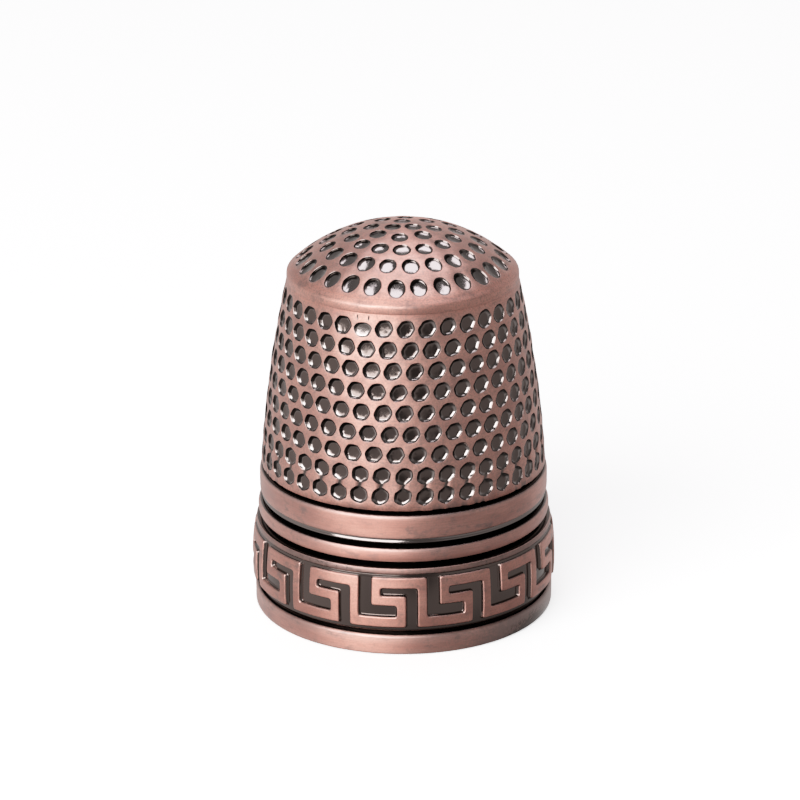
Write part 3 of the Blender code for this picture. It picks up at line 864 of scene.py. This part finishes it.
def build_key_band(material):
    """Band whose outer face carries the raised meander, as one fine sheet closed by its bore."""
    rng = random.Random(KEY_SEED)
    unit = 2.0 * math.pi * KEY_RADIUS / KEY_UNITS
    scale = unit / sum(KEY_WIDTHS)
    columns = running_edges(0.0, [width * scale for width in KEY_WIDTHS])
    rows = running_edges(KEY_HIGH - KEY_TOP_DROP, [-height for height in KEY_ROW_HEIGHTS])
    lip_low = KEY_HIGH - KEY_LIP
    x_unit = spread(columns, KEY_EDGE_OFFSETS + (0.2, 0.3, 0.4), 0.0, unit - 0.02)
    z_grid = spread(rows + [lip_low], KEY_EDGE_OFFSETS + (0.2, -0.2),
                    KEY_LOW + 0.03, KEY_HIGH - 0.04)
    raised = raised_key(x_unit, z_grid, unit, columns, rows)
    lip = 0.5 * (1.0 + np.vectorize(math.erf)((z_grid - lip_low) / KEY_BLUR))

    turns = np.concatenate([(x_unit / KEY_RADIUS + math.radians(KEY_PHASE)
                             + 2.0 * math.pi * n / KEY_UNITS) for n in range(KEY_UNITS)])
    wobble = np.zeros(len(turns))
    for harmonic in KEY_HARMONICS:
        swing = rng.uniform(-1.0, 1.0) / harmonic
        wobble += swing * np.cos(harmonic * turns + rng.uniform(0.0, FULL_TURN))
    builder = Builder()
    rings = []
    for level, z in enumerate(z_grid):
        height = np.tile(raised[level], KEY_UNITS) + KEY_WAVINESS * wobble
        height = np.clip((height - KEY_RAMP_START) / KEY_RAMP_SPAN, 0.0, 1.0)
        height = height * height * (3.0 - 2.0 * height)
        height = np.maximum(height, lip[level] * KEY_LIP_SHARE)
        if rows[0] < z < lip_low:
            height = np.maximum(height, KEY_SHELF_SHARE)
        radius = key_barrel(z) - KEY_RELIEF * (1.0 - height)
        smear = KEY_LIP_PATINA * lip[level] * np.clip(1.0 - 1.2 * wobble, 0.3, 1.3)
        patina_and_shade = np.maximum(np.clip((KEY_EDGE - height) / 0.5, 0.0, 1.0), smear)
        wear = np.clip(1.0 - np.abs(height - KEY_EDGE) / KEY_EDGE_SPREAD, 0.0, 1.0)
        rings.append(builder.add(circle(radius, z, turns), patina_and_shade, wear))

    top = key_barrel(KEY_HIGH) - 0.2 * KEY_RELIEF
    foot = key_barrel(KEY_LOW) - KEY_RELIEF
    closing = ((top - 0.025, KEY_HIGH - 0.012, 0.1, 0.9), (top - 0.07, KEY_HIGH, 0.7, 0.2),
               (top - 0.2, KEY_HIGH, 1.0, 0.0), (RING_BORE, KEY_HIGH, 1.0, 0.0),
               (RING_BORE, KEY_LOW, 1.0, 0.0), (foot - 0.1, KEY_LOW, 1.0, 0.0),
               (foot - 0.03, KEY_LOW + 0.008, 0.8, 0.3))
    for radius, z, patina_and_shade, wear in closing:
        rings.append(builder.add(circle(radius, z, turns), patina_and_shade, wear))
    for lower, upper in zip(rings, rings[1:] + rings[:1]):
        builder.bridge(lower, upper)
    return builder.build("greek_key_band", material)


# --- Materials ---

class Nodes:
    """Short calls for wiring the nodes of a material or a world."""

    def __init__(self, owner, shader="Principled BSDF"):
        owner.use_nodes = True
        self.tree = owner.node_tree
        self.shader = self.tree.nodes[shader]

    def new(self, kind, **settings):
        """New node of a kind with its settings."""
        node = self.tree.nodes.new(kind)
        for key, value in settings.items():
            setattr(node, key, value)
        return node

    def link(self, source, target):
        self.tree.links.new(source, target)

    def feed(self, socket, value):
        """Sets a socket to a number or a colour, or links it to another socket."""
        if isinstance(value, tuple):
            socket.default_value = (*value, 1.0)
        elif isinstance(value, (int, float)):
            socket.default_value = value
        else:
            self.link(value, socket)

    def set(self, values):
        """Feeds the shader's inputs, by name, with numbers, colours or other sockets."""
        for name, value in values.items():
            self.feed(self.shader.inputs[name], value)

    def attribute(self, name):
        """Value of a mesh attribute."""
        return self.new("ShaderNodeAttribute", attribute_name=name).outputs["Fac"]

    def noise(self, vector, around, up, detail, roughness):
        """Noise that repeats so many times per metre around the object and up it."""
        mapping = self.new("ShaderNodeMapping")
        mapping.inputs["Scale"].default_value = (around, around, up)
        self.link(vector, mapping.inputs["Vector"])
        node = self.new("ShaderNodeTexNoise")
        node.inputs["Scale"].default_value = 1.0
        node.inputs["Detail"].default_value = detail
        node.inputs["Roughness"].default_value = roughness
        self.link(mapping.outputs["Vector"], node.inputs["Vector"])
        return node.outputs["Fac"]

    def math(self, operation, a, b, clamp=False):
        """Sum, product or the like of two values."""
        node = self.new("ShaderNodeMath", operation=operation, use_clamp=clamp)
        self.feed(node.inputs[0], a)
        self.feed(node.inputs[1], b)
        return node.outputs["Value"]

    def facing(self, vector, aim):
        """How nearly a direction points along aim."""
        node = self.new("ShaderNodeVectorMath", operation="DOT_PRODUCT")
        node.inputs[1].default_value = aim
        self.link(vector, node.inputs[0])
        return node.outputs["Value"]

    def ramp(self, value, low, high, out_low=0.0, out_high=1.0):
        """Smooth step from out_low to out_high while the value goes from low to high."""
        node = self.new("ShaderNodeMapRange", interpolation_type="SMOOTHSTEP")
        node.inputs["From Min"].default_value = low
        node.inputs["From Max"].default_value = high
        node.inputs["To Min"].default_value = out_low
        node.inputs["To Max"].default_value = out_high
        self.link(value, node.inputs["Value"])
        return node.outputs["Result"]

    def mix(self, factor, a, b, kind="RGBA"):
        """Colour between a and b."""
        node = self.new("ShaderNodeMix", data_type=kind)
        self.link(factor, node.inputs["Factor"])
        self.feed(node.inputs["A"], a)
        self.feed(node.inputs["B"], b)
        return node.outputs["Result"]

    def blend(self, factor, a, b):
        """Number between a and b."""
        return self.mix(factor, a, b, "FLOAT")


# Colours of the metal and what covers it, a near-black painted shade for the pits' shaded walls,
# and the thin worn lacquer over the lands.
COPPER_BRIGHT = (0.80, 0.330, 0.247)
COPPER_DULL = (0.56, 0.204, 0.150)
COPPER_WORN = (0.86, 0.62, 0.54)
BROWNED = (0.21, 0.120, 0.102)
BLACKENED = (0.132, 0.098, 0.088)
PAINTED_SHADE_BLACK = (0.022, 0.016, 0.014)
POLISHED = (0.370, 0.315, 0.300)
LACQUER = 0.48
LACQUER_IOR = 1.9
LACQUER_ROUGHNESS = 0.45
RECESS_ROUGHNESS = 0.15
ROUGHNESS_SPREAD = 0.14
BRUSH_TURN = 0.25         # turns the stretch of highlights across the brush lines
BUMP_DEPTH = 0.000006     # metres

# Finish of each slot: how strong its brushing is, roughness, share of browned grain, anisotropy.
FINISHES = {
    "dimpled_copper": (1.1, 0.44, 0.55, 0.35),
    "satin_copper": (2.0, 0.46, 0.20, 0.75),
    "key_copper": (1.3, 0.44, 0.35, 0.70),
}


def copper(name, brush, satin, sand, stretch):
    """Antique copper: brushed lands, blackened glossy recesses, edges worn bright, painted shade.
    """
    material = bpy.data.materials.new(name)
    n = Nodes(material)
    place = n.new("ShaderNodeTexCoord").outputs["Object"]
    # The patina attribute also carries painted shade: the pits' blackened upper-left walls and the
    # foot ring's darker right side.
    patina_and_shade = n.attribute("patina_and_shade")
    wear = n.attribute("wear")
    fine = n.noise(place, 900.0, 15000.0, 3.0, 0.6)
    cloud = n.noise(place, 260.0, 700.0, 4.0, 0.6)
    speck = n.noise(place, 5200.0, 5200.0, 2.0, 0.5)
    grain = n.noise(place, 9000.0, 9000.0, 3.0, 0.6)
    blot = n.noise(place, 900.0, 1500.0, 5.0, 0.65)

    # The patina's edge is broken up by specks; where it is strong the metal is black.
    ragged = n.math("ADD", patina_and_shade, n.math("MULTIPLY", n.math("SUBTRACT", speck, 0.5), 0.35))
    dark = n.ramp(ragged, 0.42, 0.72)
    lands = n.mix(n.ramp(cloud, 0.35, 0.70), COPPER_BRIGHT, COPPER_DULL)
    lands = n.mix(n.ramp(fine, 0.35, 0.75, 0.0, 0.32 * brush), lands, COPPER_DULL)
    lands = n.mix(n.ramp(grain, 0.40, 0.70, 0.0, sand), lands, BROWNED)
    lands = n.mix(n.math("MULTIPLY", wear, 0.6, clamp=True), lands, COPPER_WORN)
    stain = n.ramp(blot, 0.50, 0.72, 0.0, 0.70)
    brown = n.math("MULTIPLY", n.ramp(ragged, 0.05, 0.45), 0.8)
    lands = n.mix(n.math("MAXIMUM", stain, brown), lands, BROWNED)
    recess = n.mix(wear, BLACKENED, POLISHED)
    # Patina values above 1 come only from the painted shade on the pits' upper-left walls, and
    # turn them near black.
    recess = n.mix(n.ramp(ragged, 1.15, 1.75), recess, PAINTED_SHADE_BLACK)

    # Brush lines, clouds and grain, all flatter in the recesses.
    height = n.math("MULTIPLY", fine, n.blend(dark, 1.0, 0.15))
    height = n.math("ADD", height, n.math("MULTIPLY", cloud, 0.6))
    height = n.math("ADD", height, n.math("MULTIPLY", grain, n.blend(dark, 0.8, 0.2)))
    bump = n.new("ShaderNodeBump")
    n.feed(bump.inputs["Strength"], 0.5 * brush)
    n.feed(bump.inputs["Distance"], BUMP_DEPTH)
    n.feed(bump.inputs["Height"], height)

    rough = n.ramp(fine, 0.25, 0.75, satin, satin + ROUGHNESS_SPREAD)
    tangent = n.new("ShaderNodeTangent", direction_type="RADIAL", axis="Z")
    n.set({
        "Base Color": n.mix(dark, lands, recess),
        "Metallic": 1.0,
        "Roughness": n.blend(dark, rough, RECESS_ROUGHNESS),
        "Coat Weight": n.blend(dark, LACQUER * brush, 0.0),
        "Coat IOR": LACQUER_IOR,
        "Coat Roughness": LACQUER_ROUGHNESS,
        "Anisotropic": stretch,
        "Anisotropic Rotation": BRUSH_TURN,
        "Tangent": tangent.outputs["Tangent"],
        "Normal": bump.outputs["Normal"],
    })
    return material


# --- Stage ---

def make_camera():
    """Long lens aimed at the middle of the thimble."""
    data = bpy.data.cameras.new("camera")
    data.sensor_width = SENSOR_WIDTH
    data.lens = SENSOR_WIDTH * CAMERA_DISTANCE / VIEW_WIDTH
    data.clip_start = 0.01
    data.clip_end = 10.0
    camera = bpy.data.objects.new("camera", data)
    bpy.context.collection.objects.link(camera)
    rise = math.radians(CAMERA_ELEVATION)
    x, y, z = CAMERA_AIM
    camera.location = Vector((x, y - CAMERA_DISTANCE * math.cos(rise),
                              z + CAMERA_DISTANCE * math.sin(rise))) * MM
    tilt = Matrix.Rotation(math.radians(90.0) - rise, 3, "X")
    roll = Matrix.Rotation(math.radians(CAMERA_ROLL), 3, "Z")
    camera.rotation_euler = (tilt @ roll).to_euler()
    bpy.context.scene.camera = camera


def softbox(name, location, target, size, radiance, colour):
    """Rectangular light with a given brightness of its face."""
    data = bpy.data.lights.new(name, "AREA")
    data.shape = "RECTANGLE"
    data.size = size[0] * MM
    data.size_y = size[1] * MM
    data.energy = radiance * math.pi * data.size * data.size_y
    data.color = colour
    light = bpy.data.objects.new(name, data)
    bpy.context.collection.objects.link(light)
    light.location = Vector(location) * MM
    aim = (Vector(target) - Vector(location)).normalized()
    light.visible_camera = False
    light.rotation_euler = aim.to_track_quat("-Z", "Y").to_euler()


def make_floor():
    """Plain pale disc with a little glow, left out of mirror reflections."""
    paper = bpy.data.materials.new("paper")
    Nodes(paper).set({
        "Base Color": FLOOR_COLOUR,
        "Roughness": 0.7,
        "Emission Color": (1.0, 1.0, 1.0),
        "Emission Strength": FLOOR_GLOW,
    })
    builder = Builder()
    rim = builder.ring(FLOOR_RADIUS, 0.0, 0.0, 0.0, FLOOR_SIDES)
    builder.faces.append(tuple(rim))
    floor = builder.build("floor", paper)
    floor.visible_glossy = False


def make_world():
    """Dim room with a pale wall to the left, another behind, and darker patches elsewhere."""
    world = bpy.data.worlds.new("studio")
    n = Nodes(world, "Background")
    direction = n.new("ShaderNodeTexCoord").outputs["Generated"]
    split = n.new("ShaderNodeSeparateXYZ")
    n.link(direction, split.inputs["Vector"])
    left = n.ramp(split.outputs["X"], *LEFT_WALL_SPAN, ROOM_LIGHT, ROOM_LIGHT + LEFT_WALL_LIGHT)
    back = n.ramp(split.outputs["Y"], *BACK_WALL_SPAN, 0.0, BACK_WALL_LIGHT)
    ceiling = n.ramp(split.outputs["Z"], *CEILING_SPAN, 1.0, CEILING_SHADE)
    light = n.math("MULTIPLY", n.math("ADD", left, back), ceiling)
    for aim, span, share in DARK_PATCHES:
        light = n.math("MULTIPLY", light, n.ramp(n.facing(direction, aim), *span, 1.0, share))
    n.set({"Color": (1.0, 1.0, 1.0), "Strength": light})
    bpy.context.scene.world = world


def film_response():
    """Soft shoulder: bright metal fades towards white instead of clipping in strong colour."""
    view = bpy.context.scene.view_settings
    view.view_transform = "Standard"
    view.use_curve_mapping = True
    mapping = view.curve_mapping
    mapping.white_level = (FILM_WHITE, FILM_WHITE, FILM_WHITE)
    curve = mapping.curves[3]
    for step in range(1, FILM_STEPS):
        share = (step / FILM_STEPS) ** 2
        response = (1.0 - math.exp(-share * FILM_WHITE)) / (1.0 - math.exp(-FILM_WHITE))
        curve.points.new(share, response)
    mapping.update()


def main():
    """Sets the stage, builds every piece in its slot's material, hangs it under the root body and
    hides the imported part it replaces.
    """
    make_camera()
    make_floor()
    for light in SOFTBOXES:
        softbox(*light)
    make_world()
    film_response()
    dimpled, satin, key = [copper(slot, *finish) for slot, finish in FINISHES.items()]
    seam_z = WALL_HIGH + SEAM_RISE
    pieces = (
        (build_crown(dimpled, seam_z + SEAM_GAP), "crown_cap", "dimpled_copper"),
        (build_side_wall(dimpled, seam_z), "side_wall", "dimpled_copper"),
        (build_collar(satin), "collar_band", "satin_copper"),
        (build_bead(satin), "bead_ring", "satin_copper"),
        (build_key_band(key), "key_band", "key_copper"),
        (build_base(satin), "base_rim", "satin_copper"),
    )
    for piece, node, slot in pieces:
        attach(piece, "root")
        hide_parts(node)


main()
